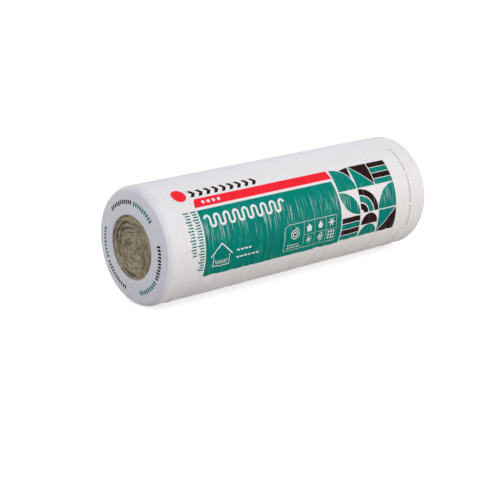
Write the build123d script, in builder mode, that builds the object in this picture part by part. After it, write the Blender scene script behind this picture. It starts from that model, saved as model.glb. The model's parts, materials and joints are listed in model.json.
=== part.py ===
"""A packed roll of mineral wool insulation, lying on its side.

Two pieces: the wool, a long mat that is wound up and pressed tight, and the plastic film
that is wrapped round it and shrunk over both ends, where it leaves a round opening that
shows the wound edge of the mat. The roll lies along X, with its underside on Z = 0 and
its middle at X = 0.
"""

import os
from math import ceil, degrees

from build123d import *

# Driving dimensions, in millimetres and degrees
roll_length = 1220.0  # over the film, end to end
roll_diameter = 412.0  # over the film
shoulder_radius = 40.0  # rounding from the side to each end, outside the film
film_thickness = 0.5
opening_diameter = 223.0  # round opening that the film leaves in each end
lap_width = 60.0  # overlap where the film is welded to itself, measured round the roll
lap_stop = 10.0  # short of each end of the roll, where the overlap is shrunk flat
lap_angle = 132.0  # middle of the overlap, turned from the top towards the back
turn_pitch = 18.0  # one turn of the pressed mat, measured along a radius
eye_radius = 10.0  # innermost half turn
crease_width = 3.0  # between two turns, where the mat's edge shows at an end
crease_depth = 8.0
crease_cover = 2.0  # least distance that the crease runs on under the film
rim_flats = 3  # flats that round the wool's rims, where the film hides them

# Derived sizes
roll_radius = roll_diameter / 2
opening_radius = opening_diameter / 2
wool_length = roll_length - 2 * film_thickness
wool_radius = roll_radius - film_thickness
wool_shoulder = shoulder_radius - film_thickness
lap_arc = degrees(lap_width / roll_radius)
lap_length = roll_length - 2 * lap_stop
half_pitch = turn_pitch / 2
half_turns = 1 + ceil((opening_radius + crease_cover - eye_radius) / half_pitch)

# The axis that the roll is wound on, and the planes along it and across it
winding_axis = Axis((0, 0, roll_radius), (1, 0, 0))
length_plane = Plane(origin=(0, 0, roll_radius), x_dir=(1, 0, 0), z_dir=(0, -1, 0))
lap_plane = length_plane.rotated((-lap_angle - lap_arc / 2, 0, 0))
cross_plane = Plane(origin=(0, 0, roll_radius), x_dir=(0, 1, 0), z_dir=(1, 0, 0))

# Half of the wool's lengthwise section, from its axis out to its side
with BuildSketch() as wool_section:
    with BuildLine():
        rim_centre = (wool_length / 2 - wool_shoulder, wool_radius - wool_shoulder)
        rim = CenterArc(rim_centre, wool_shoulder, 0, 90, mode=Mode.PRIVATE)
        rim_corners = [rim @ (corner / rim_flats) for corner in range(rim_flats + 1)]
        Polyline((0, 0), (wool_length / 2, 0), *rim_corners, (0, wool_radius))
        mirror(about=Plane.YZ)
    make_face()

# The crease between the mat's turns, as half circles about two centres. Each is half a
# pitch wider than the last and its centre half a pitch further over, so they join without
# a kink and wind outwards evenly.
with BuildSketch() as crease:
    with BuildLine():
        for half_turn in range(half_turns):
            swing = (-1) ** half_turn * half_pitch / 2
            radius = eye_radius + half_turn * half_pitch
            CenterArc((-swing, 0), radius, 180 * (half_turn % 2), 180)
    trace(line_width=crease_width)


def film_section(layers):
    """Half of the lengthwise section of so many layers of film over the wool."""
    cover = layers * film_thickness
    size = (wool_length + 2 * cover, wool_radius + cover)
    with BuildSketch() as section:
        Rectangle(*size, align=(Align.CENTER, Align.MIN))
        fillet(section.vertices().group_by(Axis.Y)[-1], wool_shoulder + cover)
        add(wool_section.sketch, mode=Mode.SUBTRACT)
    return section.sketch


# The wool: a turned solid, with the crease wound into both ends
with BuildPart() as wool_roll:
    with BuildSketch(length_plane):
        add(wool_section.sketch)
    revolve(axis=winding_axis)
    for side in (-1, 1):
        with BuildSketch(cross_plane.offset(side * wool_length / 2)):
            add(crease.sketch)
        extrude(amount=-side * crease_depth, mode=Mode.SUBTRACT)

# The film: a turned skin, open in the middle of both ends, and double along its overlap
with BuildPart() as film_wrap:
    with BuildSketch(length_plane):
        add(film_section(layers=1))
        Rectangle(roll_length, opening_diameter, mode=Mode.SUBTRACT)
    revolve(axis=winding_axis)
    with BuildSketch(lap_plane):
        add(film_section(layers=2))
        Rectangle(lap_length, 2 * roll_diameter, mode=Mode.INTERSECT)
    revolve(axis=winding_axis, revolution_arc=lap_arc)

os.makedirs("parts", exist_ok=True)
wool_roll.part.label = "wool_roll"
film_wrap.part.label = "film_wrap"
export_step(wool_roll.part, "parts/wool_roll.step")
export_step(film_wrap.part, "parts/film_wrap.step")
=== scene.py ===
"""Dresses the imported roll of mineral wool: shrunk film, printed inks, wound wool, and the studio."""
import itertools
import json
import math

import bmesh
import bpy
import numpy as np
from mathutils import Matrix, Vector

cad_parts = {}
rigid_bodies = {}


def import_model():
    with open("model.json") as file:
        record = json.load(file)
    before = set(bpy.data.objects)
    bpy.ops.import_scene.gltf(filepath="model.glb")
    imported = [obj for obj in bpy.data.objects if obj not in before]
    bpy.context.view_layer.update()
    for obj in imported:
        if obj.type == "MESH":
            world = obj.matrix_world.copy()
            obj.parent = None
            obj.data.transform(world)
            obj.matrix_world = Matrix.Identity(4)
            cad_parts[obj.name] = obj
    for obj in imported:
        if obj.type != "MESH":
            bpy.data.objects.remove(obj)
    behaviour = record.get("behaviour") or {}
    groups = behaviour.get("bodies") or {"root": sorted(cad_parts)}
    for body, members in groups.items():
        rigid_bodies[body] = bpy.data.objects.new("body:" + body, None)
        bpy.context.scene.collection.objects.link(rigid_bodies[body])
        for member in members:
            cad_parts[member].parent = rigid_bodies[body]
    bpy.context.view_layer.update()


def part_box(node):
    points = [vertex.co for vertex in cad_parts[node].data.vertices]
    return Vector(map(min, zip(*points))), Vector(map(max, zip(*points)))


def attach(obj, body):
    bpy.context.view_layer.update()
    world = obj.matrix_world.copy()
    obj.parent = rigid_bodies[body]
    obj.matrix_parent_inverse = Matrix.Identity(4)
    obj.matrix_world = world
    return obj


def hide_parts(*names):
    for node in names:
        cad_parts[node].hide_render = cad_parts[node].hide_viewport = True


bl_info = {
    "name": "Insulation Roll",
    "version": (1, 0, 0),
    "blender": (4, 5, 0),
    "location": "View3D > Sidebar > Insulation Roll",
    "description": "Builds a packed roll of mineral wool with its printed film",
    "category": "Add Mesh",
}

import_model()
roll_low, roll_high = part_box("film_wrap")
AXIS_HEIGHT = (roll_low.z + roll_high.z) / 2
MM = 0.001
TURN = 2 * math.pi
WHITE = (1.0, 1.0, 1.0, 1.0)
STEP_HALF = 0.0004  # half the width of the slope on which the welded overlap steps up
LAP_RISE = 0.00045  # how proud the overlap stands
DEEPEST = 1.3  # no fold is deeper than this many fold depths
PRINT_HOVER = 0.0006  # height over the film from which a print is lowered on to it
WOUND_ENDS = ((-1, 700), (1, 400))  # side of the roll, and the seed of its wound edge
CARVED_RADIUS = 0.118  # the ends of the wool are carved inside this circle, which the film covers
CARVED_EDGE = 0.0005  # half the width of the ring that is left at that circle
WOOL_SHOULDER, WOOL_SHOULDER_STEPS = 0.039, 6
WOOL_SINK = 0.0012  # how far the wool lies back from its end where the film covers it
END_CUTS, BARREL_CUTS = 97, 7  # cuts across each carved circle, and along the barrel of the wool


# -------- settings


def size(name, description, default):
    return bpy.props.FloatProperty(name=name, description=description, default=default, unit="LENGTH")


def count_of(name, description, default):
    return bpy.props.IntProperty(name=name, description=description, default=default, min=1)


def colour(name, description, *default):
    return bpy.props.FloatVectorProperty(
        name=name, description=description, default=(*default, 1.0), size=4, min=0.0, max=1.0, subtype="COLOR"
    )


class FilmSettings(bpy.types.PropertyGroup):
    radius: size("Radius", "Outside radius of the film", (roll_high.z - roll_low.z) / 2 - 0.0003)
    length: size("Length", "Length of the film over both ends", roll_high.x - roll_low.x - 0.0007)
    shoulder: size("Shoulder", "Radius of the soft shoulder at each end", 0.040)
    edge: size("Edge", "Radius of the edge where the tight film of the end meets the shoulder", 0.192)
    end_fall: size("End fall", "How far the film of the end falls back from its opening to its edge", 0.0103)
    opening: size("Opening", "Radius of the round opening in each end", 0.1115)
    thickness: size("Thickness", "Thickness of the film", 0.0005)
    columns: count_of("Columns", "Faces round the roll", 128)
    rows: count_of("Rows", "Faces along the straight part of the roll, in twelfths", 38)
    lap_angle: bpy.props.FloatProperty(
        name="Lap angle",
        description="Middle of the welded overlap, from the top towards the back",
        default=math.radians(132),
        subtype="ANGLE",
    )
    lap_width: size("Lap width", "Width of the welded overlap", 0.060)
    fold_depth: size("Fold depth", "Depth of the deepest fold in the film", 0.0030)
    colour: colour("Film colour", "White of the film", 0.80, 0.79, 0.82)


class PrintSettings(bpy.types.PropertyGroup):
    lift: size("Lift", "Height of the ink over the film", 0.0003)
    teal: colour("Teal ink", "Colour of the main panel", 0.0, 0.250, 0.205)
    red: colour("Red ink", "Colour of the stripe", 1.0, 0.022, 0.042)
    dark: colour("Dark ink", "Colour of the chevrons and the dark shapes", 0.020, 0.008, 0.008)
    grey: colour("Grey ink", "Colour of the small dashes", 0.33, 0.33, 0.35)


class WoolSettings(bpy.types.PropertyGroup):
    radius: size("Radius", "Radius of the wound wool inside the film", 0.2012)
    end: size("End", "Distance of the wound edge from the middle of the roll", 0.6088)
    pitch: size("Turn", "Thickness of one turn of the mat", 0.018)
    crease: size("Crease", "Depth of the gap between two turns", 0.0080)
    columns: count_of("Columns", "Faces round the wool", 300)
    fibres: count_of("Loose fibres", "Number of loose fibres on each end", 1000)
    light: colour("Light wool", "Colour of the light fibres", 0.522, 0.422, 0.290)
    mid: colour("Mid wool", "Colour of most of the wool", 0.331, 0.254, 0.162)
    # The darkest stop of the wool's own tone, and also the colour of the painted shade deep between two turns.
    dark: colour("Dark wool", "Colour of the wool deep between two turns", 0.078, 0.052, 0.026)


class StageSettings(bpy.types.PropertyGroup):
    lens: bpy.props.FloatProperty(name="Lens", description="Focal length in millimetres", default=101.7)
    camera_place: bpy.props.FloatVectorProperty(
        name="Camera place",
        description="Where the camera stands",
        default=(-3.190, -3.6832, 1.5789),
        subtype="TRANSLATION",
        unit="LENGTH",
    )
    camera_aim: bpy.props.FloatVectorProperty(
        name="Camera aim",
        description="Direction in which the camera looks",
        default=(0.615, 0.7315, -0.2944),
        subtype="DIRECTION",
    )
    key_power: bpy.props.FloatProperty(name="Key light", description="Power of the key light, in watts", default=76.0)
    sky: bpy.props.FloatProperty(name="Sky", description="Strength of the even light from all round", default=0.79)


# -------- hands: selecting, cutting, applying


def deselect_everything():
    for each in bpy.context.view_layer.objects:
        each.select_set(False)


def take(piece):
    """Makes the piece the only selected and the active one."""
    deselect_everything()
    piece.select_set(True)
    bpy.context.view_layer.objects.active = piece


def pick(kind, test):
    """Selects, in edit mode, the verts, edges or faces that pass the test."""
    piece = bpy.context.edit_object
    grid = bmesh.from_edit_mesh(piece.data)
    bpy.ops.mesh.select_mode(type={"verts": "VERT", "edges": "EDGE", "faces": "FACE"}[kind])
    bpy.ops.mesh.select_all(action="DESELECT")
    for item in getattr(grid, kind):
        if test(item):
            item.select_set(True)
    grid.select_flush_mode()
    bmesh.update_edit_mesh(piece.data)


def dress(piece, material):
    """Gives the piece its material and a smooth look, with its place in its mesh, and lets it ride on the roll."""
    piece.data.materials.clear()
    piece.data.materials.append(material)
    take(piece)
    bpy.ops.object.shade_smooth()
    bpy.ops.object.transform_apply(location=True, rotation=True, scale=True)
    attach(piece, "root")


def half_section(name, length, inner, outer, shoulder, segments):
    """A plate that stands over the roll's axis with its two outer corners rounded, left in edit mode."""
    deselect_everything()
    place = (0, 0, AXIS_HEIGHT + (outer + inner) / 2)
    bpy.ops.mesh.primitive_plane_add(size=1, location=place, rotation=(math.pi / 2, 0, 0))
    piece = bpy.context.active_object
    piece.name = piece.data.name = name
    piece.scale = (length, outer - inner, 1)
    bpy.ops.object.transform_apply(location=True, rotation=True, scale=True)
    bpy.ops.object.mode_set(mode="EDIT")
    pick("verts", lambda v: v.co.z > AXIS_HEIGHT + outer - 0.001)
    bpy.ops.mesh.bevel(offset=shoulder, segments=segments, affect="VERTICES")
    bpy.ops.mesh.select_all(action="SELECT")
    return piece


def turn_profile(columns):
    """Spins the profile that lies over the roll's axis once round it, and closes the seam."""
    bpy.ops.mesh.select_all(action="SELECT")
    bpy.ops.mesh.spin(steps=columns, angle=TURN, center=(0, 0, AXIS_HEIGHT), axis=(1, 0, 0))
    bpy.ops.mesh.select_all(action="SELECT")
    bpy.ops.mesh.remove_doubles(threshold=0.00002)
    bpy.ops.mesh.normals_make_consistent(inside=False)


def to_mesh(name, curve):
    """A mesh piece in place of the curve, selected and active."""
    piece = bpy.data.objects.new(name, curve)
    bpy.context.collection.objects.link(piece)
    take(piece)
    bpy.ops.object.convert(target="MESH")
    return bpy.context.active_object


def read(items, key, width=1, kind=float):
    """One row of numbers for each vertex, corner or face."""
    values = np.empty(len(items) * width, dtype=kind)
    items.foreach_get(key, values)
    return values.reshape(-1, width) if width > 1 else values


def read_points(piece):
    return read(piece.data.vertices, "co", 3)


def write_points(piece, points):
    piece.data.vertices.foreach_set("co", np.ascontiguousarray(points, dtype=np.float32).ravel())
    piece.data.update()


def read_faces(piece):
    """The vertex at each corner, and the number of corners and the middle of each face."""
    mesh = piece.data
    corners = read(mesh.loops, "vertex_index", kind=int)
    return corners, read(mesh.polygons, "loop_total", kind=int), read(mesh.polygons, "center", 3)


def write_map(piece, name, spots):
    """Gives the piece a UV map with one spot for each corner."""
    layer = piece.data.uv_layers.new(name=name)
    layer.uv.foreach_set("vector", spots.astype(np.float32).ravel())


def nearest_turn(angle, goal):
    """The angle, with whole turns added until it lies within half a turn of the goal."""
    return angle + TURN * np.round((goal - angle) / TURN)


def round_the_roll(points):
    """Distance from the axis, and angle from the top towards the camera's side."""
    across, up = points[:, 1], points[:, 2] - AXIS_HEIGHT
    return np.hypot(across, up), np.arctan2(-across, up)


def on_the_roll(x, distance, angle):
    """Points at those places along the roll, distances from the axis and angles from the top."""
    return np.stack([x, -distance * np.sin(angle), AXIS_HEIGHT + distance * np.cos(angle)], 1)


# -------- soft random fields


def cloud(seed, *axes):
    """Smooth values from -1 to 1, one bump to a unit of each axis."""
    table = np.random.default_rng(seed).uniform(-1, 1, (32,) * len(axes))
    cells = [np.floor(axis).astype(int) for axis in axes]
    parts = [axis - cell for axis, cell in zip(axes, cells)]
    parts = [part * part * (3 - 2 * part) for part in parts]
    total = 0.0
    for corner in itertools.product((0, 1), repeat=len(axes)):
        share = 1.0
        for step, part in zip(corner, parts):
            share = share * (part if step else 1 - part)
        total = total + share * table[tuple((cell + step) % 32 for step, cell in zip(corner, cells))]
    return total


def clouds(seed, octaves, *axes):
    """Smooth values with finer ones laid over them, each octave twice as fine and half as strong."""
    total, share = 0.0, 1.0
    for octave in range(octaves):
        total = total + share * cloud(seed + octave, *(axis * 2**octave + 7.3 * octave for axis in axes))
        share *= 0.5
    return total / 1.6


# -------- materials


class Recipe:
    """A material under construction, with short calls for its nodes."""

    def __init__(self, name):
        self.material = bpy.data.materials.get(name) or bpy.data.materials.new(name)
        self.material.use_nodes = True
        self.tree = self.material.node_tree
        self.shader = self.tree.nodes["Principled BSDF"]

    def node(self, kind, inputs=(), **options):
        made = self.tree.nodes.new(kind)
        for key, value in options.items():
            setattr(made, key, value)
        for socket, value in dict(inputs).items():
            self.feed(made, socket, value)
        return made

    def feed(self, made, socket, value):
        if isinstance(value, bpy.types.NodeSocket):
            self.tree.links.new(value, made.inputs[socket])
        else:
            made.inputs[socket].default_value = value

    def math(self, operation, *values, clamp=False):
        return self.node("ShaderNodeMath", enumerate(values), operation=operation, use_clamp=clamp).outputs[0]

    def place(self):
        return self.node("ShaderNodeTexCoord").outputs["Object"]

    def wrap(self):
        """The film's own map: metres along the roll, and metres round it."""
        return self.node("ShaderNodeUVMap", uv_map="wrap").outputs[0]

    def part(self, vector, axis):
        return self.node("ShaderNodeSeparateXYZ", {"Vector": vector}).outputs[axis]

    def mapped(self, vector, scale, place=(0.0, 0.0, 0.0), turn=(0.0, 0.0, 0.0)):
        inputs = {"Vector": vector, "Scale": scale, "Location": place, "Rotation": turn}
        return self.node("ShaderNodeMapping", inputs).outputs[0]

    def noise(self, vector, scale=1.0, detail=4.0, roughness=0.55, distortion=0.0):
        inputs = {"Vector": vector, "Scale": scale, "Detail": detail, "Roughness": roughness, "Distortion": distortion}
        return self.node("ShaderNodeTexNoise", inputs).outputs["Fac"]

    def range(self, value, low, high, to_low=0.0, to_high=1.0):
        inputs = {"Value": value, "From Min": low, "From Max": high, "To Min": to_low, "To Max": to_high}
        return self.node("ShaderNodeMapRange", inputs).outputs[0]

    def blend(self, factor, first, second, how="MIX"):
        inputs = {"Fac": factor, "Color1": first, "Color2": second}
        return self.node("ShaderNodeMixRGB", inputs, blend_type=how).outputs[0]

    def ramp(self, value, *stops):
        made = self.node("ShaderNodeValToRGB", {"Fac": value})
        while len(made.color_ramp.elements) < len(stops):
            made.color_ramp.elements.new(0.5)
        for element, (place, colour) in zip(made.color_ramp.elements, stops):
            element.position, element.color = place, colour
        return made.outputs[0]

    def bump(self, height, strength, distance):
        return self.node("ShaderNodeBump", {"Height": height, "Strength": strength, "Distance": distance}).outputs[0]

    def finish(self, **sockets):
        for socket, value in sockets.items():
            self.feed(self.shader, socket.replace("_", " "), value)
        return self.material


def creases(make, wrap):
    """The film's fine creases, which run round the roll: their pattern, and the height for the bump."""
    fine = make.noise(make.mapped(wrap, (170.0, 8.0, 1.0)), 1.0, 4.0, 0.6, 0.4)
    slant = make.noise(make.mapped(wrap, (90.0, 6.0, 1.0), turn=(0.0, 0.0, 0.10)), 1.0, 3.0, 0.5, 0.3)
    return fine, make.math("ADD", fine, make.math("MULTIPLY", slant, 1.1))


def shade_of(colour, share):
    """The colour, darkened to that share of itself."""
    return tuple(c * share for c in colour[:3]) + (1.0,)


CREASE_BUMP = (0.7, 0.0013)  # strength and height in metres
WELD_PLACE, WELD_HALF, WELD_FADE = 0.012, 0.0012, 0.0010  # the weld's line, off the middle of the overlap
BELT_PLACE, BELT_HALF, BELT_FADE = 0.262, 0.022, 0.040  # the belt of painted glints, in metres of film from the top


def film_material(film):
    """White film: satin, with fine creases round the roll and painted shade in them, faint mottling and the line of
    the weld.
    """
    make = Recipe("shrunk_film")
    wrap = make.wrap()
    fine, height = creases(make, wrap)
    mottle = make.range(make.noise(make.place(), 9.0, 3.0), 0.35, 0.65, 0.0, 0.6)
    white = make.blend(mottle, tuple(film.colour), shade_of(film.colour, 0.96))
    # Painted shade: the film's colour is darkened along the fine creases, where shade falls.
    painted_crease_shade = make.blend(make.range(fine, 0.31, 0.41, 0.6, 0.0), white, shade_of(film.colour, 0.80))
    aside = make.math("ADD", make.part(wrap, "Y"), film.lap_angle * film.radius - WELD_PLACE)
    weld = make.range(make.math("ABSOLUTE", aside), WELD_HALF, WELD_HALF + WELD_FADE, 1.0, 0.0)
    rough = make.range(fine, 0.3, 0.7, 0.40, 0.54)
    return make.finish(
        Base_Color=painted_crease_shade,
        Roughness=make.math("SUBTRACT", rough, make.math("MULTIPLY", weld, 0.15)),
        Specular_IOR_Level=0.35,
        Normal=make.bump(make.math("ADD", height, make.math("MULTIPLY", weld, 0.5)), *CREASE_BUMP),
    )


def ink_material(name, colour, glint_share):
    """Ink on the film: the film's own creases with painted shade in them, painted shade in dark streaks low down, and
    painted whitish glints round the roll.
    """
    make = Recipe(name)
    wrap = make.wrap()
    arc = make.part(wrap, "Y")
    fine, height = creases(make, wrap)
    streaks = make.noise(make.mapped(wrap, (190.0, 10.0, 1.0), (3.0, 1.0, 0.0)), 1.0, 2.0, 0.5)
    patches = make.noise(make.mapped(wrap, (10.0, 9.0, 1.0), (0.3, 0.0, 0.0)), 1.0, 1.0)
    broad = make.noise(make.mapped(wrap, (42.0, 5.0, 1.0)), 1.0, 2.0)
    # Painted shade: the ink is darkened along the film's fine creases, and in broad streaks low down on the roll.
    shade = make.blend(make.range(fine, 0.35, 0.65), shade_of(colour, 0.80), tuple(colour))
    low_painted_shade = make.math("MULTIPLY", make.range(broad, 0.42, 0.62), make.range(arc, 0.22, 0.36))
    shade = make.blend(low_painted_shade, shade, shade_of(colour, 0.70))
    # Painted highlight: whitish glints along the creases, strongest in a belt round the roll and weaker in patches.
    aside = make.math("ABSOLUTE", make.math("SUBTRACT", arc, BELT_PLACE))
    belt = make.range(aside, BELT_HALF, BELT_HALF + BELT_FADE, 0.9, 0.0)
    where = make.math("MAXIMUM", belt, make.range(patches, 0.52, 0.68, 0.0, 0.34))
    painted_glints = make.math("MULTIPLY", make.range(streaks, 0.56, 0.74), where, clamp=True)
    return make.finish(
        # The whitish colour is the painted glint, mixed in by each ink's glint share.
        Base_Color=make.blend(make.math("MULTIPLY", painted_glints, glint_share), shade, (0.66, 0.72, 0.71, 1.0)),
        Roughness=make.range(fine, 0.3, 0.7, 0.36, 0.48),
        Specular_IOR_Level=0.03,
        Normal=make.bump(height, *CREASE_BUMP),
    )


def wool_material(wool):
    """Mineral wool: soft fibres along the turns, a felt of crossing ones, and painted shade between the turns and
    under the film's rim.
    """
    make = Recipe("mineral_wool_fibres")
    flow = make.node("ShaderNodeAttribute", attribute_name="flow").outputs["Vector"]
    gap = make.node("ShaderNodeAttribute", attribute_name="gap").outputs["Fac"]
    place = make.place()
    leaves = make.noise(make.mapped(flow, (135.0, 46.0, 46.0)), 1.0, 3.0, 0.55, 0.9)
    strands = make.noise(make.mapped(flow, (380.0, 110.0, 110.0)), 1.0, 5.0, 0.65, 1.2)
    clumps = make.noise(place, 48.0, 5.0, 0.6, 0.8)
    felt = [
        make.noise(make.mapped(place, (300.0, 110.0, 900.0), turn=(turn, 0.0, 0.0)), 1.0, 3.0, 0.6, 0.7)
        for turn in (0.3, 1.3, 2.4)
    ]
    crossing = make.math("MAXIMUM", felt[0], make.math("MAXIMUM", felt[1], felt[2]))
    grain = make.math("MULTIPLY", leaves, 0.36)
    for part, share in ((strands, 0.22), (clumps, 0.22), (crossing, 0.17)):
        grain = make.math("ADD", grain, make.math("MULTIPLY", part, share))
    pale = (0.75, 0.66, 0.51, 1.0)
    body = make.ramp(grain, (0.37, wool.dark), (0.445, wool.mid), (0.510, wool.light), (0.58, pale))
    # The wool is a little greener toward the rim of the opening, and in soft patches.
    rim = make.range(make.part(flow, "X"), 0.060, 0.098, 0.0, 0.75)
    green = make.math("ADD", rim, make.range(make.noise(place, 14.0, 2.0), 0.4, 0.62, 0.0, 0.35), clamp=True)
    hue = make.blend(green, body, (0.90, 0.95, 0.78, 1.0), "MULTIPLY")
    return make.finish(
        # Painted shade: the wool is darkened toward the dark colour in the gaps and splits between turns, and under
        # the film's rim.
        Base_Color=make.blend(make.range(gap, 0.0, 1.0, 0.0, 0.85), hue, wool.dark),
        Roughness=0.95,
        Specular_IOR_Level=0.1,
        Sheen_Weight=0.2,
        Sheen_Roughness=0.6,
        Normal=make.bump(grain, 1.0, 0.0035),
    )


def fibre_material(wool):
    """Loose fibres on the wound edge, each a little lighter or darker."""
    make = Recipe("loose_fibres")
    tone = make.noise(make.place(), 60.0, 2.0)
    return make.finish(
        Base_Color=make.ramp(tone, (0.38, wool.mid), (0.60, (0.60, 0.53, 0.41, 1.0))),
        Roughness=0.9,
        Specular_IOR_Level=0.2,
    )


# -------- the film


FOLD_KINDS = ((230, 0.0095, 0.16, 1.0), (620, 0.0042, 0.075, 0.50))  # count, widest, longest, deepest
FOLD_REACH = 0.58  # folds start within this distance of the roll's middle
EDGE_HALF = 0.001  # half the width over which the edge of the end is rounded
RIM_WIDTH, RIM_CURL = 0.004, 0.0016  # the rim of the opening, and how far it curls in
SHOULDER_STEPS, TWELFTH_CUTS, RING_CUTS = 20, 11, 21  # how finely the film's profile is divided


def fold_field(x, angle, film):
    """Depth of the film's folds, from 0 to about 1. They run round the roll, and are deepest low down."""
    dice = np.random.default_rng(11)
    arc = angle * film.radius
    depth = np.zeros_like(x)
    for count, widest, longest, deepest in FOLD_KINDS:
        for _ in range(count):
            side = dice.choice((-1, 1), p=(0.35, 0.65))
            middle = side * film.radius * math.radians(dice.triangular(20, 125, 180))
            along = dice.uniform(-FOLD_REACH, FOLD_REACH)
            # Some of the folds gather near the ends.
            if dice.uniform() < 0.3:
                along = math.copysign(0.57 - abs(dice.normal(0, 0.07)), along)
            span, width = longest * dice.uniform(0.35, 1), widest * dice.uniform(0.55, 1)
            slant = dice.normal(0.05, 0.10) * side
            low = abs(middle) / (math.pi * film.radius)
            near_end = max(0.0, 1 - (FOLD_REACH - abs(along)) / 0.13)
            height = deepest * dice.uniform(0.3, 1.0) * min(1.0, 0.10 + 1.9 * low**2.0 + 0.25 * near_end * low)
            nearby = np.abs(arc - middle) < span * 1.4
            from_middle = arc[nearby] - middle
            off = (x[nearby] - along - slant * from_middle) / width
            depth[nearby] += height * np.exp(-off * off) * np.exp(-((from_middle / span) ** 2) * 2)
    return depth


def press_end(points, reach, film):
    """Presses the soft ends to shallow cones: the tight film meets the shoulder there at a clear edge."""
    distance, _ = round_the_roll(points)
    share = np.clip((distance - film.opening) / (film.edge - film.opening), 0, None)
    over = np.abs(points[:, 0]) - (reach - film.end_fall * share**1.5)
    rounded = np.clip(over + EDGE_HALF, 0, 2 * EDGE_HALF) ** 2 / (4 * EDGE_HALF)
    pressed = rounded + np.clip(over - EDGE_HALF, 0, None)
    points[:, 0] -= np.sign(points[:, 0]) * np.where(share > 0, pressed, 0)


def shape_film(piece, film):
    """Draws the spun skin into folds, lifts the welded overlap and curls the rims of the openings in."""
    points = read_points(piece)
    x = points[:, 0]
    distance, angle = round_the_roll(points)
    half = film.length / 2
    flat = half - film.shoulder
    over_end = np.clip((np.abs(x) - flat) / film.shoulder, 0, 1)
    # The way out of the film: straight out on the barrel, along X on the ends, turning over the shoulder.
    centre_out = np.clip(distance, film.opening, film.radius - film.shoulder)
    out_x = np.sign(x) * np.clip(np.abs(x) - flat, 0, None)
    out_r = distance - centre_out
    reach = np.maximum(np.hypot(out_x, out_r), 1e-9)
    out_x, out_r = out_x / reach, out_r / reach
    fade = 1 - np.clip((over_end - 0.05) / 0.85, 0, 1) ** 0.7
    folds = fold_field(x, angle, film) * fade
    round_y, round_z = np.cos(angle), np.sin(angle)
    waves = 0.30 * clouds(40, 2, x * 9, round_y * 2, round_z * 2)
    waves = waves + 0.20 * clouds(50, 2, x * 26, round_y * 5, round_z * 5)
    waves = (0.4 + 0.6 * fade) * waves * np.clip(np.abs(angle) / 1.4, 0.25, 1)
    depth = film.fold_depth * (0.12 + folds + waves).clip(0, DEEPEST)
    # The overlap stands proud between its two steps, and ends just short of the film's ends.
    back = np.abs((angle + film.lap_angle + math.pi) % TURN - math.pi) * film.radius
    lap = np.clip((film.lap_width / 2 + STEP_HALF - back) / (2 * STEP_HALF), 0, 1) * (np.abs(x) < half - 0.004)
    # The hidden inner wall lies under the deepest fold, all round.
    outer = reach > film.shoulder - film.thickness / 2
    depth = np.where(outer, depth - LAP_RISE * lap, film.fold_depth * DEEPEST)
    rim = np.clip((film.opening + RIM_WIDTH - distance) / RIM_WIDTH, 0, 1) ** 2
    moved = on_the_roll(x - (out_x * depth + np.sign(x) * rim * RIM_CURL), distance - out_r * depth, angle)
    press_end(moved, np.where(outer, half, half - film.fold_depth * DEEPEST - film.thickness), film)
    write_points(piece, moved)


def unwrap_film(piece, film):
    """Gives the skin its map in metres for the materials, and a packed one for baking."""
    points = read_points(piece)
    distance, angle = round_the_roll(points)
    corners, totals, middles = read_faces(piece)
    # Both maps are cut open at the lower edge of the overlap, where the cut is hidden.
    seam = -film.lap_angle - film.lap_width / 2 / film.radius
    face_angle = (np.repeat(round_the_roll(middles)[1], totals) - seam) % TURN
    corner_angle = nearest_turn(angle[corners] - seam, face_angle)
    x, out = points[corners, 0], distance[corners]
    # Along the profile: over the barrel as X, and down the end as the fall from the barrel's radius.
    travel = np.sign(x) * (np.abs(x) + (film.radius - out))
    write_map(piece, "wrap", np.stack([travel, (corner_angle + seam) * film.radius], 1))
    # The faces of the inner wall look toward the inside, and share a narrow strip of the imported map.
    face_out = middles * (0, 1, 1) - (0, 0, film.radius)
    past_flat = np.clip(np.abs(middles[:, 0]) - film.length / 2 + film.shoulder, 0, None)
    face_out[:, 0] = np.sign(middles[:, 0]) * past_flat * 20
    inner = np.repeat((read(piece.data.polygons, "normal", 3) * face_out).sum(1) < 0, totals)
    share = travel / (film.length / 2 + film.radius - film.opening) * 0.5 + 0.5
    packed = np.stack([0.004 + 0.972 * share, 0.003 + 0.994 * corner_angle / TURN], 1)
    packed[inner, 0] = 0.982 + 0.014 * share[inner]
    write_map(piece, "OFBake", packed.clip(0, 1))


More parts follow.
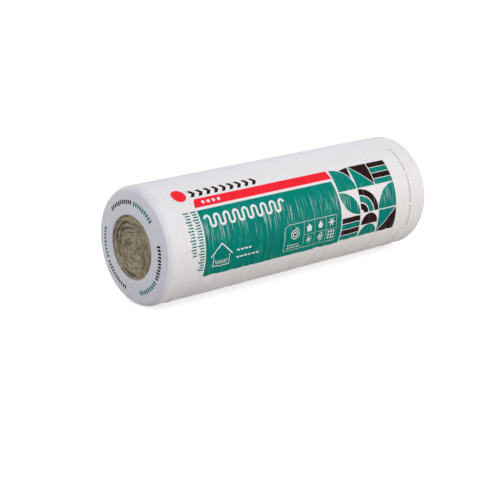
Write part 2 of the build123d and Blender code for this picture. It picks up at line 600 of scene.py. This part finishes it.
class INSULATION_OT_film(bpy.types.Operator):
    """Builds the shrunk film: a profile is bevelled, spun round the axis and drawn into folds"""

    bl_idname = "insulation.film"
    bl_label = "Film"

    def execute(self, context):
        film = context.scene.insulation_film
        half, low, top = film.length / 2, AXIS_HEIGHT + film.opening, AXIS_HEIGHT + film.radius

        def on_barrel(edge):
            return all(v.co.z > top - 0.00005 for v in edge.verts)

        def on_end(edge):
            beyond = all(abs(v.co.x) > half - film.thickness / 2 for v in edge.verts)
            return beyond and abs(edge.verts[0].co.z - edge.verts[1].co.z) > 0.02

        # Of the half section only the line over the barrel and down both ends is kept.
        piece = half_section("film_skin", film.length, film.opening, film.radius, film.shoulder, SHOULDER_STEPS)
        bpy.ops.mesh.delete(type="ONLY_FACE")
        pick("edges", lambda e: all(v.co.z < low + 0.001 for v in e.verts))
        bpy.ops.mesh.delete(type="EDGE")
        # The inner wall of the film is a coarse copy of that line, joined to it at the openings.
        bpy.ops.mesh.select_mode(type="VERT")
        bpy.ops.mesh.select_all(action="SELECT")
        bpy.ops.mesh.duplicate()
        bpy.ops.transform.resize(value=((half - film.thickness) / half, 1, 1), center_override=(0, 0, 0))
        bpy.ops.transform.translate(value=(0, 0, -film.thickness))
        for side in (-1, 1):
            pick("verts", lambda v: v.co.z < low + 0.0001 and v.co.x * side > 0)
            bpy.ops.mesh.edge_face_add()
        pick("verts", lambda v: v.co.z < low - film.thickness / 2)
        bpy.ops.transform.translate(value=(0, 0, film.thickness))
        # The outer line is divided finely enough for the folds: the barrel in twelfths and then in rows.
        for wanted, cuts in ((on_barrel, TWELFTH_CUTS), (on_barrel, film.rows - 1), (on_end, RING_CUTS)):
            pick("edges", wanted)
            bpy.ops.mesh.subdivide(number_cuts=cuts)
        turn_profile(film.columns)
        # Edges for the two steps of the overlap.
        for edge in (-1, 1):
            for nudge in (-STEP_HALF, STEP_HALF):
                angle = film.lap_angle + edge * (film.lap_width / 2 / film.radius) + nudge / film.radius
                across = Vector((0, math.sin(angle), math.cos(angle)))
                pick("faces", lambda f: (f.calc_center_median() - Vector((0, 0, AXIS_HEIGHT))).dot(across) > 0.02)
                normal = (0, math.cos(angle), -math.sin(angle))
                bpy.ops.mesh.bisect(plane_co=(0, 0, AXIS_HEIGHT), plane_no=normal)
        bpy.ops.object.mode_set(mode="OBJECT")
        shape_film(piece, film)
        unwrap_film(piece, film)
        dress(piece, film_material(film))
        bpy.ops.object.shade_smooth_by_angle(angle=math.radians(60))
        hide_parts("film_wrap")
        return {"FINISHED"}


# -------- outlines for the inks, in millimetres
# Drawn flat: x along the roll, y up, so that 0 is the roll's top and -100 is 100 mm of film below it.


def oblong(x0, y0, x1, y1):
    return [(x0, y0), (x1, y0), (x1, y1), (x0, y1)]


def spoke(cx, cy, radius, degrees):
    """The point at that distance and direction from the centre."""
    return cx + radius * math.cos(math.radians(degrees)), cy + radius * math.sin(math.radians(degrees))


def arc_points(cx, cy, radius, start, stop, step=5.0):
    """Points on an arc between two angles in degrees, at most about a step apart and 9 degrees apart."""
    count = max(3, int(abs(math.radians(stop - start)) * radius / step) + 2, int(abs(stop - start) / 9) + 2)
    return [spoke(cx, cy, radius, degrees) for degrees in np.linspace(start, stop, count)]


def disc(cx, cy, radius):
    return arc_points(cx, cy, radius, 0, 360)[:-1]


def pie(cx, cy, radius, start):
    return [(cx, cy)] + arc_points(cx, cy, radius, start, start + 90)


def band(cx, cy, inner, outer, start, stop):
    return arc_points(cx, cy, outer, start, stop) + arc_points(cx, cy, inner, stop, start)


def stroke(line, width):
    """A line drawn with a pen of that width."""
    path = [Vector(p) for p in line]
    left, right = [], []
    for i, here in enumerate(path):
        before = (here - path[i - 1]).normalized() if i else (path[1] - here).normalized()
        after = (path[i + 1] - here).normalized() if i < len(path) - 1 else before
        mitre = (before + after).normalized()
        side = Vector((-mitre.y, mitre.x)) * width / 2 / max(mitre.dot(after), 0.5)
        left.append(tuple(here + side))
        right.append(tuple(here - side))
    return left + right[::-1]


def meander(x0, x1, low, high, count, width):
    """The drawing sign for insulation: one line that loops up and down."""
    pitch = (x1 - x0) / count
    turn = pitch / 2
    line = []
    for i in range(count):
        cx = x0 + pitch * (i + 0.5)
        if i % 2 == 0:
            line += arc_points(cx, high - turn, turn, 180, 0, 2.0)
        else:
            line += arc_points(cx, low + turn, turn, 180, 360, 2.0)
    return stroke(line, width)


def panel_outlines():
    """The main panel with its curved right edge, and what is left white in it, apart from the signs."""
    edge = [(150 + 8 * math.sin(math.radians(min(90, (down - 178) * 0.75))), -down) for down in range(178, 415, 12)]
    shapes = [[(-453, -414), (-453, -178), *edge, (158, -414)]]
    shapes.append(meander(-436, -93, -241, -202, 17, 8.8))
    # A section through an insulated house.
    shapes.append(stroke([(-432, -345), (-386, -303), (-340, -345)], 4.5))
    shapes.append(stroke([(-420, -343), (-420, -382), (-352, -382), (-352, -343)], 3.0))
    shapes.append(meander(-413, -359, -374, -362, 9, 2.4))
    shapes += [oblong(-322 + 17 * i, -342, -310 + 17 * i, -336) for i in range(4)]
    shapes += [oblong(-322 + 17 * i, -368, -310 + 17 * i, -362) for i in range(6)]
    # The box of signs.
    box = [(-88, -297), (136, -297), (136, -393), (-108, -393), (-108, -318)]
    shapes.append(stroke(box + arc_points(-88, -318, 20, 180, 95), 1.6))
    return shapes


def dots(x, y, columns, rows, pitch, radius):
    return [disc(x + pitch * i, y - pitch * j, radius) for i in range(columns) for j in range(rows)]


def flake(cx, cy, arms, outer, inner):
    """A star with blunt arms."""
    return [
        spoke(cx, cy, reach, degrees)
        for i in range(arms)
        for degrees, reach in (
            (360 / arms * i - 6, outer),
            (360 / arms * i + 6, outer),
            (360 / arms * (i + 0.5), inner),
        )
    ]


def sign_outlines():
    """White signs in the box: a rolled mat, house, drop, flake, sun, sound and dots."""
    winds = [0.25 * k for k in range(57)]
    spiral = [(-62 + (4 + t * 1.28) * math.cos(t), -333 + (4 + t * 1.28) * math.sin(t)) for t in winds]
    shapes = [stroke(spiral, 3.4)]
    shapes += [oblong(-94 + 11 * i, -385, -87 + 11 * i, -381) for i in range(6)]
    shapes += [oblong(-94 + 11 * i, -375, -87 + 11 * i, -371) for i in range(5)]
    shapes += [oblong(x, -390, x + 1.2, -300) for x in (-20, 32, 84)]
    shapes += [oblong(x, -346, x + 45, -344.8) for x in (-16, 36, 88)]
    shapes.append([(-8, -322), (6, -308), (20, -322), (16, -322), (16, -336), (-4, -336), (-4, -322)])
    shapes.append(arc_points(58, -324, 10, 160, 380) + [(58, -305)])
    shapes.append(flake(110, -320, 6, 16, 4.5))
    shapes.append(disc(6, -367, 7))
    shapes += [stroke([spoke(6, -367, 10, 45 * i), spoke(6, -367, 15, 45 * i)], 2.6) for i in range(8)]
    shapes += [band(46, -367, 5 + 8 * i, 9 + 8 * i, -48, 48) for i in range(3)]
    shapes += dots(98, -355, 3, 3, 12, 4.2)
    return shapes


TILE, GAP = 88.0, 4.0
TILE_LEFT, TILE_TOP = 163, -136
TILES = (
    ("fan_cut", "slope", "bars"),
    ("leaf", "rings", "fan"),
    ("bars", "half", "slope_back"),
)


def tile_shapes(kind, x, y):
    """One tile of plain geometry from its lower left corner: its teal outlines and its dark ones."""
    right, top = x + TILE, y + TILE
    if kind == "fan_cut":
        return [pie(x, y, TILE, 0)], [[(right, top)] + arc_points(x, y, TILE + 3, 62, 28)]
    if kind == "fan":
        return [pie(right, y, TILE, 90)], []
    if kind == "slope":
        return [[(x, y), (right, y), (x, top)]], [[(right, y + GAP), (right, top), (x + GAP, top)]]
    if kind == "slope_back":
        return [[(x, y + GAP), (right - GAP, top), (x, top)]], [[(x, y), (right, y), (right, top)]]
    if kind == "bars":
        bars = [oblong(x, y + i * 22.5, right, y + i * 22.5 + 20) for i in range(4)]
        return bars[0::2], bars[1::2]
    if kind == "leaf":
        return [arc_points(x, y, TILE, 0, 90) + arc_points(right, top, TILE, 180, 270)[1:-1]], []
    if kind == "rings":
        rings = [band(x, y, 14 + 26 * i, 36 + 26 * i, 0, 90) for i in range(3)]
        return rings[1:2], rings[0::2]
    middle = x + TILE / 2
    arch = arc_points(middle, y + TILE / 2 + 2, TILE / 2 - 3, 0, 180)
    return [arc_points(middle, y, TILE / 2, 0, 180)], [arch]


def tile_outlines():
    """The field of nine tiles: the outlines for the teal ink, and for the dark ink."""
    teal, dark = [], []
    for row, kinds in enumerate(TILES):
        for column, kind in enumerate(kinds):
            x, y = TILE_LEFT + column * (TILE + GAP), TILE_TOP - (row + 1) * (TILE + GAP) + GAP
            in_teal, in_dark = tile_shapes(kind, x, y)
            teal += in_teal
            dark += in_dark
    return teal, dark


def tick_outlines():
    """Two rulers of ticks beside the panel, with every third tick longer."""
    return [
        oblong(left - (0 if i % 3 else 5), -178 - pitch * i - 5, right, -178 - pitch * i)
        for count, left, right, pitch in ((22, -478, -459, 9.6), (15, -508, -490, 10.4))
        for i in range(count)
    ]


def stripe_outlines():
    """The red stripe with four white dots, and the plain disc above its left end."""
    stripe = [(-455, -168), (-452, -160), (-449, -148), *arc_points(-433, -148, 14, 170, 90), (150, -134), (157, -168)]
    return [stripe] + [disc(-412 + 22 * i, -151, 6.5) for i in range(4)] + [disc(-487, -108, 27)]


def chevron_outlines():
    """A row of nine arrows that point along the roll."""
    arrow = ((0, -96), (15, -96), (27, -110.5), (15, -125), (0, -125), (12, -110.5))
    return [[(-447 + 33 * i + x, y) for x, y in arrow] for i in range(9)]


def dash_outlines():
    """A broken row of small dashes that runs round the roll near its right end."""
    return [oblong(508 + i % 2, -96 - 11 * i, 512 + i % 2, -89 - 11 * i) for i in range(30) if i % 11 != 10]


# -------- the inks


def flat_shape(name, outlines):
    """A flat mesh in the XY plane from closed outlines, in metres. An outline inside another is a hole."""
    curve = bpy.data.curves.new(name, "CURVE")
    curve.dimensions, curve.fill_mode = "2D", "BOTH"
    for outline in outlines:
        spline = curve.splines.new("POLY")
        spline.points.add(len(outline) - 1)
        for point, (x, y) in zip(spline.points, outline):
            point.co = (x * MM, y * MM, 0, 1)
        spline.use_cyclic_u = True
    return to_mesh(name, curve)


def cut_along(places, direction):
    """Cuts the flat mesh in edit mode on lines at those places, and merges the slivers between two cuts."""
    for place in places:
        bpy.ops.mesh.select_all(action="SELECT")
        bpy.ops.mesh.bisect(plane_co=Vector(direction) * place, plane_no=direction)
    bpy.ops.mesh.select_all(action="SELECT")
    bpy.ops.mesh.remove_doubles(threshold=0.00015)
    bpy.ops.mesh.dissolve_degenerate(threshold=0.0001)


def rows_between(low, high, film):
    """The places along X of the film's own rows."""
    flat = film.length / 2 - film.shoulder
    step = 2 * flat / (12 * film.rows)
    first, last = math.ceil((low + flat) / step), math.floor((high + flat) / step)
    return [k * step - flat for k in range(first, last + 1)]


def map_in_metres(piece):
    """Maps the flat print as the film is mapped: metres along the roll, and metres round it."""
    while piece.data.uv_layers:
        piece.data.uv_layers.remove(piece.data.uv_layers[0])
    corners = read_faces(piece)[0]
    write_map(piece, "wrap", read_points(piece)[corners, :2] * (1, -1))


def lay_on_film(piece, ink, material):
    """Lowers the print, which hovers just over the film, on to the film's folds and gives it its ink."""
    take(piece)
    lie = piece.modifiers.new("lie", "SHRINKWRAP")
    lie.target, lie.offset = bpy.data.objects["film_skin"], ink.lift
    lie.wrap_method, lie.wrap_mode = "NEAREST_SURFACEPOINT", "ABOVE_SURFACE"
    bpy.ops.object.modifier_apply(modifier=lie.name)
    dress(piece, material)


def barrel_print(name, outlines, material, film, ink):
    """A print on the barrel, drawn flat, cut on the film's own rows and columns and bent round the roll.

    It lies on the front, and again on the back.
    """
    front = flat_shape(name + "_front", outlines)
    points = read_points(front)
    low, high = points.min(0), points.max(0)
    column = TURN * film.radius / film.columns
    columns = range(math.ceil(low[1] / column), math.floor(high[1] / column) + 1)
    take(front)
    bpy.ops.object.mode_set(mode="EDIT")
    cut_along(rows_between(low[0], high[0], film), (1, 0, 0))
    cut_along([k * column for k in columns], (0, 1, 0))
    bpy.ops.object.mode_set(mode="OBJECT")
    map_in_metres(front)
    back = front.copy()
    back.data, back.name = front.data.copy(), name + "_back"
    bpy.context.collection.objects.link(back)
    # The back print crosses the welded overlap, so it is cut along the overlap's two steps too.
    middle = (film.lap_angle - math.pi) * film.radius
    steps = [middle + edge * film.lap_width / 2 + nudge for edge in (-1, 1) for nudge in (-STEP_HALF, STEP_HALF)]
    take(back)
    bpy.ops.object.mode_set(mode="EDIT")
    cut_along(steps, (0, 1, 0))
    bpy.ops.object.mode_set(mode="OBJECT")
    for piece, start in ((front, 0.0), (back, math.pi)):
        points = read_points(piece)
        angle = start - points[:, 1] / film.radius
        write_points(piece, on_the_roll(points[:, 0], film.radius + PRINT_HOVER, angle))
        lay_on_film(piece, ink, material)


class INSULATION_OT_prints(bpy.types.Operator):
    """Lays the printed inks on the barrel of the film"""

    bl_idname = "insulation.prints"
    bl_label = "Prints"

    def execute(self, context):
        film, ink = context.scene.insulation_film, context.scene.insulation_print
        teal_tiles, dark_tiles = tile_outlines()
        teal = ink_material("ink_teal", ink.teal, 0.75)
        for name, outlines, material in (
            ("panel", panel_outlines() + sign_outlines(), teal),
            ("teal_tiles", teal_tiles, teal),
            ("dark_tiles", dark_tiles, ink_material("ink_dark", ink.dark, 0.35)),
            ("ticks", tick_outlines(), teal),
            ("stripe", stripe_outlines(), ink_material("ink_red", ink.red, 0.1)),
            ("chevrons", chevron_outlines(), ink_material("ink_black", ink.dark, 0.0)),
            ("dashes", dash_outlines(), ink_material("ink_grey", ink.grey, 0.0)),
        ):
            barrel_print("print_" + name, outlines, material, film, ink)
        return {"FINISHED"}


MARK_LOW, MARK_LONG, MARK_HIGH = 149, 146.5, 162.5  # radii of the marks on the ends, in millimetres
MARK_SHARE = 0.62  # how much of its pitch a mark takes up


def mark_outlines(start, count, pitch):
    """Three groups of short bars round the opening, with every fourth bar longer. Angles are in degrees."""
    marks = []
    for third in range(3):
        for i in range(count):
            turn = 90 - (start + 120 * third + pitch * i)
            low = MARK_LOW if i % 4 else MARK_LONG
            marks.append(band(0, 0, low, MARK_HIGH, turn, turn - MARK_SHARE * pitch))
    return marks


class INSULATION_OT_end_marks(bpy.types.Operator):
    """Lays the ring of marks round the opening on both ends"""

    bl_idname = "insulation.end_marks"
    bl_label = "End Marks"

    def execute(self, context):
        film, ink = context.scene.insulation_film, context.scene.insulation_print
        for side, end in ((-1, "left"), (1, "right")):
            for word, start, count, pitch in (("black", -45, 11, 4.3), ("teal", 5, 9, 4.6)):
                piece = flat_shape(f"marks_{word}_{end}", mark_outlines(start, count, pitch))
                map_in_metres(piece)
                points = read_points(piece)
                x = np.full(len(points), side * (film.length / 2 + PRINT_HOVER))
                write_points(piece, np.stack([x, side * points[:, 0], AXIS_HEIGHT + points[:, 1]], 1))
                lay_on_film(piece, ink, bpy.data.materials[f"ink_{word}"])
        return {"FINISHED"}


# -------- the wool


def wind_layers(across, up, wool, film, seed):
    """The wound edge of the mat: how deep each point lies in metres, how much painted shade it gets, and its place on
    its turn.
    """
    far = np.hypot(across, up)
    turn = np.arctan2(up, across) % TURN
    outward = np.clip(far / 0.026, 0, 1) ** 2

    def patches(step, octaves, width):
        return clouds(seed + step, octaves, across / width, up / width)

    # The turns wander, most of all near the middle, where the mat was folded over.
    wander = 0.0140 * patches(0, 2, 0.042) * np.clip(1.3 - far / 0.11, 0.3, 1) + 0.0045 * patches(5, 2, 0.014)
    warped = far * (1 + 0.18 * patches(9, 1, 0.10)) + wander
    part = ((warped - 0.010) / wool.pitch - turn / TURN) % 1
    gap = np.minimum(part, 1 - part) * wool.pitch
    # One gap gapes more than the others, on the back's side and near the rim.
    aside = (turn - 0.35 + math.pi) % TURN - math.pi
    widest = 0.8 * np.exp(-((aside / 0.9) ** 2) - ((warped - 0.080) / 0.016) ** 2)
    strength = (0.36 + 1.1 * patches(13, 2, 0.032) + widest).clip(0.0, 1)
    crease = np.exp(-((gap / (0.0016 + 0.0030 * strength)) ** 2)) * strength
    # Inside a turn the wool parts into thin leaves, which run round it except at the very middle.
    cosine, sine = 2.2 * np.cos(turn), 2.2 * np.sin(turn)
    leaf = clouds(seed + 17, 3, warped / 0.0075, cosine, sine) * outward + patches(19, 3, 0.009) * (1 - outward)
    split = np.exp(-((leaf / 0.16) ** 2)) * (0.25 + 0.9 * patches(21, 2, 0.022)).clip(0, 1)
    fine = clouds(seed + 27, 3, warped / 0.0028, cosine * 2, sine * 2) * outward
    swell = (0.5 + patches(31, 2, 0.034)).clip(0)
    depth = 0.0014 + wool.crease * crease + 0.0012 * split * (1 - crease) + 0.0019 * leaf + 0.0004 * fine
    depth = depth + 0.0013 * patches(25, 4, 0.0095) + 0.0032 * swell
    # Toward the rim the wool sinks back behind the film.
    depth = depth + 0.0025 * (far / film.opening) ** 2.5
    # The second value is painted shade: strongest in the creases between turns, less in the splits and the deep
    # leaves.
    return depth, (crease + 0.3 * split + 0.75 * leaf.clip(0)).clip(0, 1), warped, turn


def shape_wool(piece, wool, film):
    """Carves the wound turns into both ends, and stores how much painted shade each point gets and how the fibres run
    there.
    """
    points = read_points(piece)
    across, up = points[:, 1], points[:, 2] - AXIS_HEIGHT
    far = np.hypot(across, up)
    gap, flow = np.zeros(len(points)), np.zeros((len(points), 3))
    for side, seed in WOUND_ENDS:
        end = (points[:, 0] * side > wool.end - 0.0005) & (far < CARVED_RADIUS + CARVED_EDGE)
        depth, dark, warped, turn = wind_layers(across[end], up[end], wool, film, seed)
        # Under the film's rim the relief fades, and the wool keeps a loose distance from the film.
        tuck = np.clip((far[end] - (film.opening - 0.006)) / 0.008, 0, 1) ** 1.5
        loose = 0.0022 + 0.0022 * clouds(seed + 40, 2, np.cos(turn) * 2.0, np.sin(turn) * 2.0)
        depth = depth * (1 - 0.5 * tuck) + tuck * (loose.clip(0) + 0.0018)
        points[end, 0] -= side * depth.clip(0)
        # Painted shade: the creases, splits and deep leaves, and the wool tucked under the film's rim, are stored as
        # darkening for the colour.
        gap[end] = np.maximum(dark, 0.25 * tuck)
        flow[end] = np.stack([warped, 0.05 * np.cos(turn), 0.05 * np.sin(turn)], 1)
    under_film = far > CARVED_RADIUS - CARVED_EDGE
    press_end(points, np.where(under_film, wool.end - WOOL_SINK, wool.end), film)
    write_points(piece, points)
    attributes = piece.data.attributes
    attributes.new("gap", "FLOAT", "POINT").data.foreach_set("value", gap.astype(np.float32))
    attributes.new("flow", "FLOAT_VECTOR", "POINT").data.foreach_set("vector", flow.astype(np.float32).ravel())


def unwrap_wool(piece, wool):
    """A baking map that gives its lower half to the two wound ends."""
    points = read_points(piece)
    corners, totals, middles = read_faces(piece)
    middle_across, middle_up = middles[:, 1], middles[:, 2] - AXIS_HEIGHT
    carved = (np.abs(middles[:, 0]) > wool.end - 0.03) & (np.hypot(middle_across, middle_up) < CARVED_RADIUS)
    is_end = np.repeat(carved, totals)
    right = np.repeat(middles[:, 0] > 0, totals)
    x, across, up = points[corners, 0], points[corners, 1], points[corners, 2] - AXIS_HEIGHT
    scale = 0.245 / (CARVED_RADIUS + CARVED_EDGE)
    ends = np.stack([0.25 + 0.5 * right + across * scale, 0.25 + up * scale], 1)
    middle_angle = np.repeat(np.arctan2(middle_across, middle_up), totals) % TURN
    angle = nearest_turn(np.arctan2(across, up), middle_angle)
    travel = np.sign(x) * (np.abs(x) + (wool.radius - np.hypot(across, up)))
    body = np.stack([0.01 + 0.98 * angle / TURN, 0.51 + 0.48 * (travel / 1.42 + 0.5)], 1)
    write_map(piece, "OFBake", np.where(is_end[:, None], ends, body).clip(0, 1))


class INSULATION_OT_wool(bpy.types.Operator):
    """Builds the wound wool: a profile is spun into a drum, and both ends are carved into turns"""

    bl_idname = "insulation.wool"
    bl_label = "Wool"

    def execute(self, context):
        wool, film = context.scene.insulation_wool, context.scene.insulation_film
        piece = half_section("wool_coil", wool.end * 2, 0.0, wool.radius, WOOL_SHOULDER, WOOL_SHOULDER_STEPS)
        # The line over the barrel and down both ends is kept, and divided finely inside the carved circle.
        bpy.ops.mesh.bisect(plane_co=(0, 0, AXIS_HEIGHT + CARVED_RADIUS), plane_no=(0, 0, 1))
        bpy.ops.mesh.select_all(action="SELECT")
        bpy.ops.mesh.delete(type="ONLY_FACE")
        low = AXIS_HEIGHT + CARVED_RADIUS + 0.002
        pick("edges", lambda e: abs(e.verts[0].co.z - e.verts[1].co.z) < 0.0001 and e.verts[0].co.z < low)
        bpy.ops.mesh.delete(type="EDGE")
        pick("edges", lambda e: min(v.co.z for v in e.verts) < AXIS_HEIGHT + 0.0001)
        bpy.ops.mesh.subdivide(number_cuts=END_CUTS)
        pick("edges", lambda e: abs(e.verts[0].co.x - e.verts[1].co.x) > 0.5)
        bpy.ops.mesh.subdivide(number_cuts=BARREL_CUTS)
        turn_profile(wool.columns)
        bpy.ops.object.mode_set(mode="OBJECT")
        shape_wool(piece, wool, film)
        unwrap_wool(piece, wool)
        dress(piece, wool_material(wool))
        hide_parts("wool_roll")
        return {"FINISHED"}


FIBRE_THICKNESS = 0.00018  # from its middle line to its outside
FIBRE_LIFTS, FIBRE_WIDTHS = (0.1, 1.0, 1.2, 0.9, 0.2), (0.5, 1.0, 1.1, 0.9, 0.4)  # shares at its five points


class INSULATION_OT_fibres(bpy.types.Operator):
    """Lays loose fibres over the wound edge: short curved hairs that mostly follow the turns"""

    bl_idname = "insulation.fibres"
    bl_label = "Loose Fibres"

    def execute(self, context):
        wool, film = context.scene.insulation_wool, context.scene.insulation_film
        curve = bpy.data.curves.new("loose_fibres", "CURVE")
        curve.dimensions, curve.bevel_depth, curve.bevel_resolution = "3D", FIBRE_THICKNESS, 0
        curve.use_fill_caps = True
        for side, seed in WOUND_ENDS:
            dice = np.random.default_rng(seed)
            count = wool.fibres
            # Each fibre bends round one point of the wound edge, and heads more or less along its turn.
            far = (film.opening - 0.010) * np.sqrt(dice.uniform(0.002, 1, count))
            start = dice.uniform(0, TURN, count)
            heading = start + math.pi / 2 + dice.normal(0, 0.45, count)
            length, bend = dice.uniform(0.006, 0.022, count), dice.normal(0, 26, count)
            lift = dice.uniform(0.0003, 0.0016, count)
            along = np.linspace(-0.5, 0.5, len(FIBRE_LIFTS))[:, None] * length
            across = far * np.cos(start) + along * np.cos(heading) - bend * along**2 * np.sin(heading)
            up = far * np.sin(start) + along * np.sin(heading) + bend * along**2 * np.cos(heading)
            rim = film.opening - 0.004
            limit = rim / np.maximum(np.hypot(across, up), rim)
            across, up = across * limit, up * limit
            # It lies on the wool with its ends tucked in, and spans the gaps.
            depth = wind_layers(across.ravel(), up.ravel(), wool, film, seed)[0].reshape(across.shape)
            depth = np.minimum(depth, depth.min(0) + 0.0022) - lift * np.array(FIBRE_LIFTS)[:, None]
            for k in range(count):
                spline = curve.splines.new("POLY")
                spline.points.add(len(FIBRE_WIDTHS) - 1)
                for j, point in enumerate(spline.points):
                    point.co = (side * (wool.end - max(depth[j, k], 0.0)), across[j, k], AXIS_HEIGHT + up[j, k], 1)
                    point.radius = FIBRE_WIDTHS[j]
        dress(to_mesh("loose_fibres", curve), fibre_material(wool))
        return {"FINISHED"}


# -------- the studio


FLOOR_WIDTH, FLOOR_GAP = 40, 0.0004  # the floor lies a hair under the roll
FLOOR_COLOUR, FLOOR_GLOW = (0.40, 0.365, 0.33, 1.0), 0.62


def seen_directly(tree):
    """One where a ray comes from the camera, a mirror-like face or a clear one, and otherwise nought."""
    path = tree.nodes.new("ShaderNodeLightPath")
    seen = path.outputs["Is Camera Ray"]
    for ray in ("Is Glossy Ray", "Is Transmission Ray"):
        either = tree.nodes.new("ShaderNodeMath")
        either.operation = "MAXIMUM"
        tree.links.new(seen, either.inputs[0])
        tree.links.new(path.outputs[ray], either.inputs[1])
        seen = either.outputs[0]
    return seen


def white_when_seen(name, colour, lift):
    """A pale material that keeps shadows but shows as white to the camera and in reflections."""
    make = Recipe(name)
    seen = seen_directly(make.tree)
    make.feed(make.shader, "Emission Color", WHITE)
    make.feed(make.shader, "Emission Strength", make.math("MULTIPLY", seen, lift))
    colour = make.blend(seen, colour, (0.80, 0.80, 0.80, 1.0))
    return make.finish(Base_Color=colour, Roughness=0.9, Specular_IOR_Level=0.0)


def white_world(name, colour, strength):
    """Even light of that colour and strength, which shows as white to the camera and in reflections."""
    world = bpy.data.worlds.new(name)
    world.use_nodes = True
    tree = world.node_tree
    soft, plain = tree.nodes["Background"], tree.nodes.new("ShaderNodeBackground")
    soft.inputs["Color"].default_value, soft.inputs["Strength"].default_value = colour, strength
    plain.inputs["Color"].default_value = WHITE
    mix = tree.nodes.new("ShaderNodeMixShader")
    for socket, source in enumerate((seen_directly(tree), soft.outputs[0], plain.outputs[0])):
        tree.links.new(source, mix.inputs[socket])
    tree.links.new(mix.outputs[0], tree.nodes["World Output"].inputs["Surface"])
    return world


class INSULATION_OT_stage(bpy.types.Operator):
    """Sets up the floor, the lights, the world and the camera"""

    bl_idname = "insulation.stage"
    bl_label = "Stage"

    def execute(self, context):
        scene = context.scene
        stage = scene.insulation_stage
        deselect_everything()
        bpy.ops.mesh.primitive_plane_add(size=FLOOR_WIDTH, location=(0, 0, -FLOOR_GAP))
        floor = context.active_object
        floor.name = floor.data.name = "floor"
        floor.data.materials.append(white_when_seen("pale_floor", FLOOR_COLOUR, FLOOR_GLOW))
        key = stage.key_power
        for name, place, width, power, tint in (
            ("key", (0.6, -4.5, 0.95), 1.3, key, (1.0, 0.915, 0.775)),
            ("fill", (-3.6, -2.2, 0.5), 1.6, key * 0.21, (0.23, 0.46, 1.0)),
            ("rim", (2.6, 2.4, 2.4), 1.6, key * 0.12, (1.0, 0.98, 0.95)),
        ):
            lamp = bpy.data.objects.new(name, bpy.data.lights.new(name, "AREA"))
            lamp.data.energy, lamp.data.size, lamp.data.color = power, width, tint
            lamp.location = place
            lamp.rotation_euler = (Vector((0, 0, 0.2)) - lamp.location).to_track_quat("-Z", "Y").to_euler()
            context.collection.objects.link(lamp)
        scene.world = white_world("studio", (0.973, 0.975, 1.0, 1.0), stage.sky)
        camera = bpy.data.objects.new("camera", bpy.data.cameras.new("camera"))
        camera.data.lens, camera.data.sensor_width = stage.lens, 36.0
        camera.data.sensor_fit = "HORIZONTAL"
        camera.location = stage.camera_place
        camera.rotation_euler = Vector(stage.camera_aim).to_track_quat("-Z", "Y").to_euler()
        context.collection.objects.link(camera)
        scene.camera = camera
        scene.view_settings.view_transform = "Standard"
        return {"FINISHED"}


# -------- panel and registration


class INSULATION_PT_panel(bpy.types.Panel):
    """Lists the steps that build the roll"""

    bl_idname = "INSULATION_PT_panel"
    bl_label = "Insulation Roll"
    bl_space_type = "VIEW_3D"
    bl_region_type = "UI"
    bl_category = "Insulation Roll"

    def draw(self, context):
        for group in SETTINGS:
            settings = getattr(context.scene, f"insulation_{group}")
            box = self.layout.box()
            for key in settings.__annotations__:
                box.prop(settings, key)
        for step in STEPS:
            self.layout.operator(step.bl_idname)


STEPS = (
    INSULATION_OT_film,
    INSULATION_OT_prints,
    INSULATION_OT_end_marks,
    INSULATION_OT_wool,
    INSULATION_OT_fibres,
    INSULATION_OT_stage,
)
SETTINGS = {"film": FilmSettings, "print": PrintSettings, "wool": WoolSettings, "stage": StageSettings}


def register():
    for each in (*SETTINGS.values(), *STEPS, INSULATION_PT_panel):
        bpy.utils.register_class(each)
    for name, group in SETTINGS.items():
        setattr(bpy.types.Scene, f"insulation_{name}", bpy.props.PointerProperty(type=group))


def unregister():
    for name in SETTINGS:
        delattr(bpy.types.Scene, f"insulation_{name}")
    for each in (INSULATION_PT_panel, *STEPS, *SETTINGS.values()):
        bpy.utils.unregister_class(each)


def main():
    register()
    bpy.ops.insulation.film()
    bpy.ops.insulation.prints()
    bpy.ops.insulation.end_marks()
    bpy.ops.insulation.wool()
    bpy.ops.insulation.fibres()
    bpy.ops.insulation.stage()


if __name__ == "__main__":
    main()
